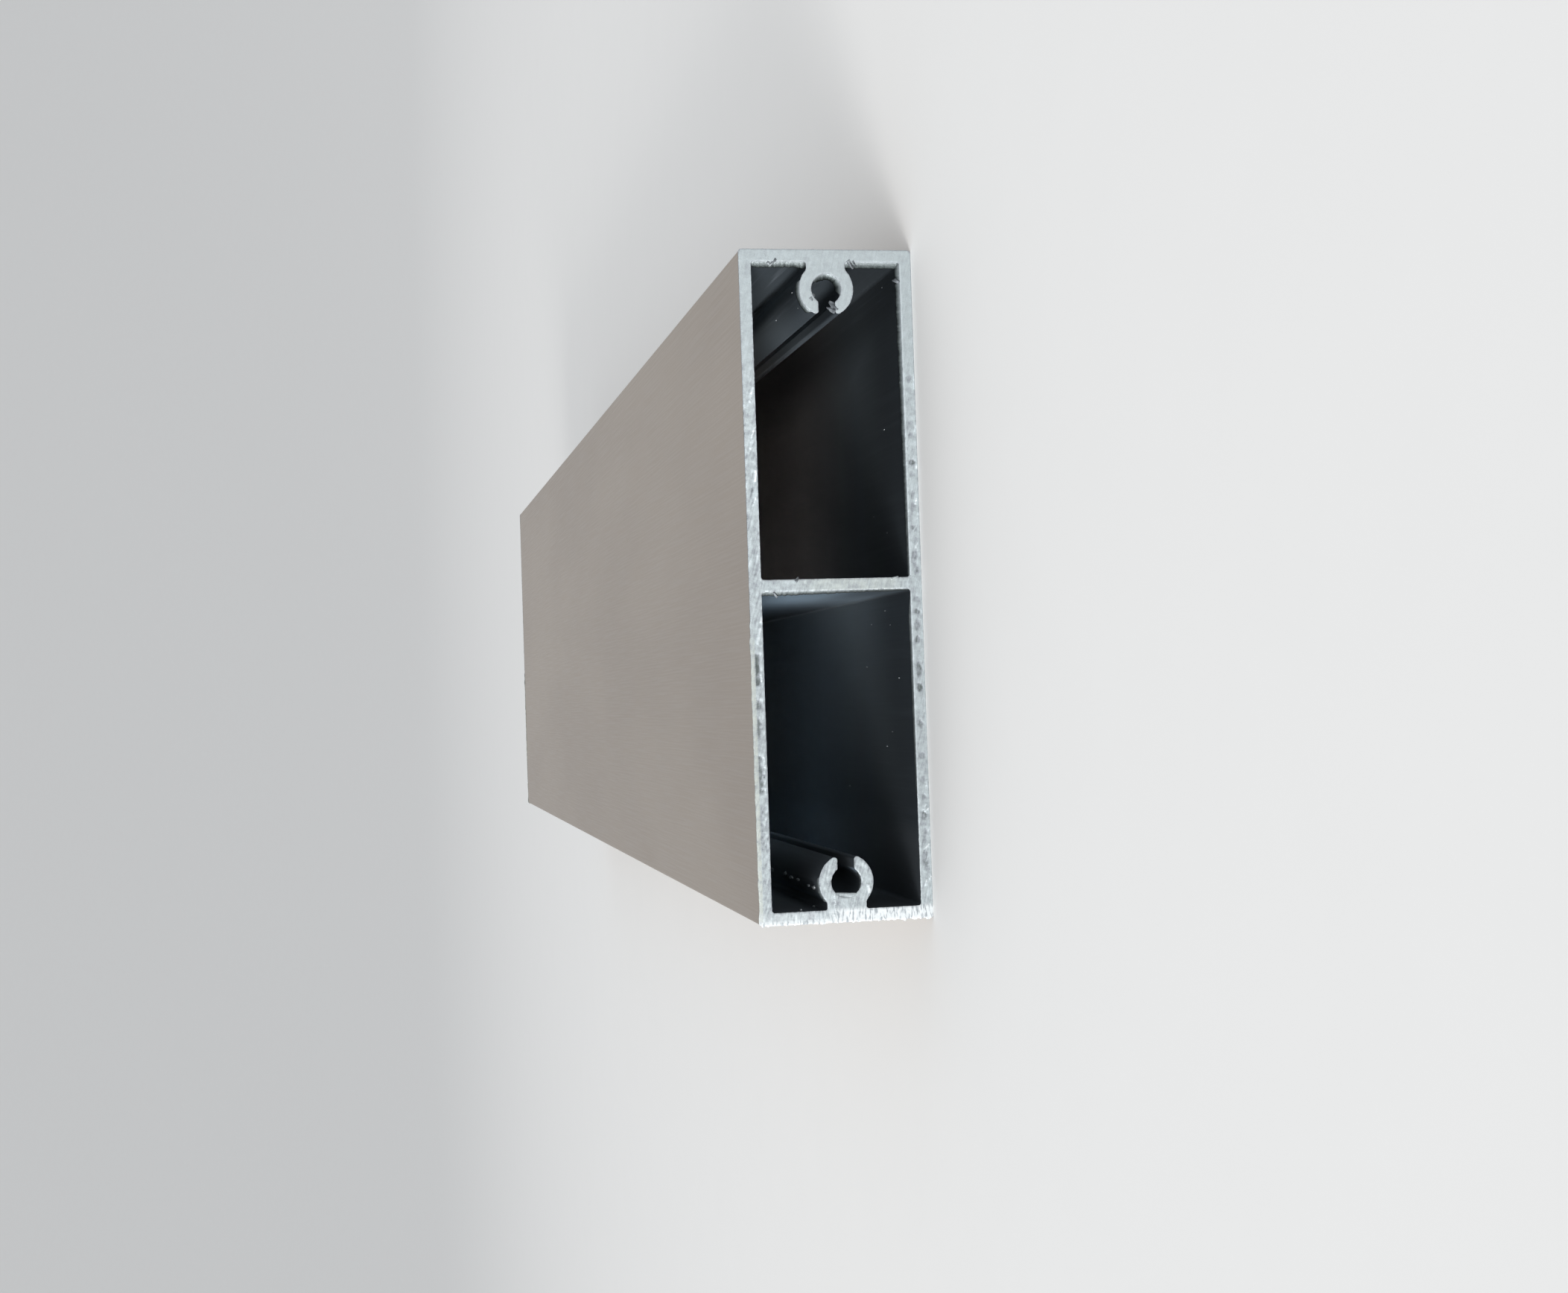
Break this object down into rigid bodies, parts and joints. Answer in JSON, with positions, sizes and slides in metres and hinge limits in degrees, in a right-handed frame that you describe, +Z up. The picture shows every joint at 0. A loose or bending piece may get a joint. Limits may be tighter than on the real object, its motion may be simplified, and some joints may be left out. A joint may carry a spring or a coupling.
{
  "type": "aluminium extrusion profile",
  "caption": "Long hollow rectangular aluminium profile, divided into chambers by a central web, with an open screw port running along the inside of each short wall.",
  "frame": {"origin": "centre of the footprint of the wide face that the profile lies on, at floor level", "axes": "+Y along the length, from the sawn end in the picture to the far end; +X across the width, up in the picture; +Z up through the height, to the wide face that the picture shows"},
  "size_m": [0.095, 0.4, 0.025],
  "materials": {
    "satin_aluminium": "satin anodised outside, bright sawn ends with fine saw marks"
  },
  "bodies": {
    "root": {"hollow_profile": "satin_aluminium"}
  },
  "joints": []
}
